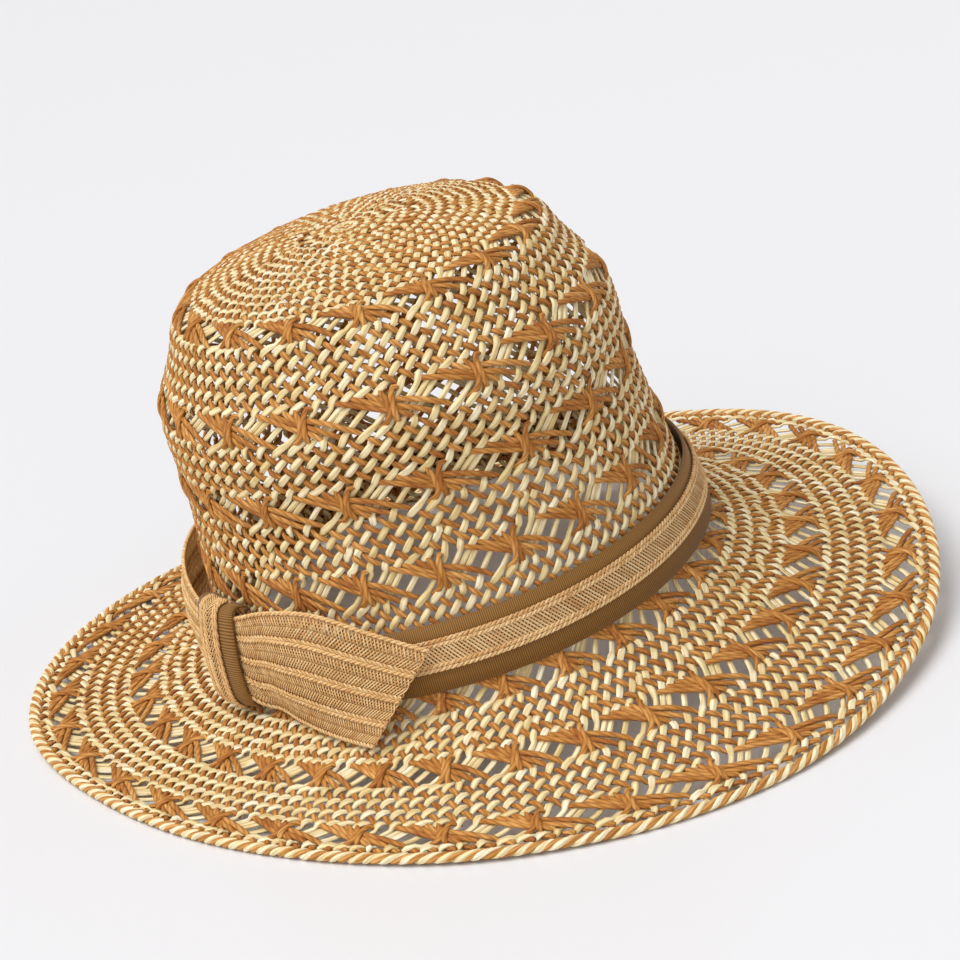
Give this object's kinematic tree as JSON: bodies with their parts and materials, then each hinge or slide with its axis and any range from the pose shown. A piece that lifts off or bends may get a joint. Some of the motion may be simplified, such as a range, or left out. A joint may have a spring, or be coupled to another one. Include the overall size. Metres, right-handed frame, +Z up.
{
  "type": "beach hat",
  "caption": "Openwork straw beach hat in two strand colours, round crown, wavy wide brim with plaited rim, grosgrain band under a straw braid, and a side bow.",
  "frame": {"origin": "on the floor under the middle of the brim's bounds, the hat resting on its rim as it would by itself", "axes": "+Z up; +X to the side where the brim lifts, -Y towards the picture's camera, so the bow is at -X and -Y"},
  "size_m": [0.3158, 0.3216, 0.155],
  "materials": {
    "two_colour_straw": "woven straw, cream and caramel strands, matt",
    "plaited_straw_rim": "plaited straw, matt",
    "grosgrain": "ribbed ribbon, low sheen",
    "pale_straw_braid": "open straw braid, matt",
    "bow_straw_braid": "close straw braid, matt"
  },
  "bodies": {
    "root": {"crown_and_brim": "two_colour_straw", "rim_plait": "plaited_straw_rim", "band_ribbon": "grosgrain", "band_braid": "pale_straw_braid", "bow_front": "bow_straw_braid", "bow_back": "bow_straw_braid", "knot_ribbon": "grosgrain", "knot_braid": "pale_straw_braid"}
  },
  "joints": []
}
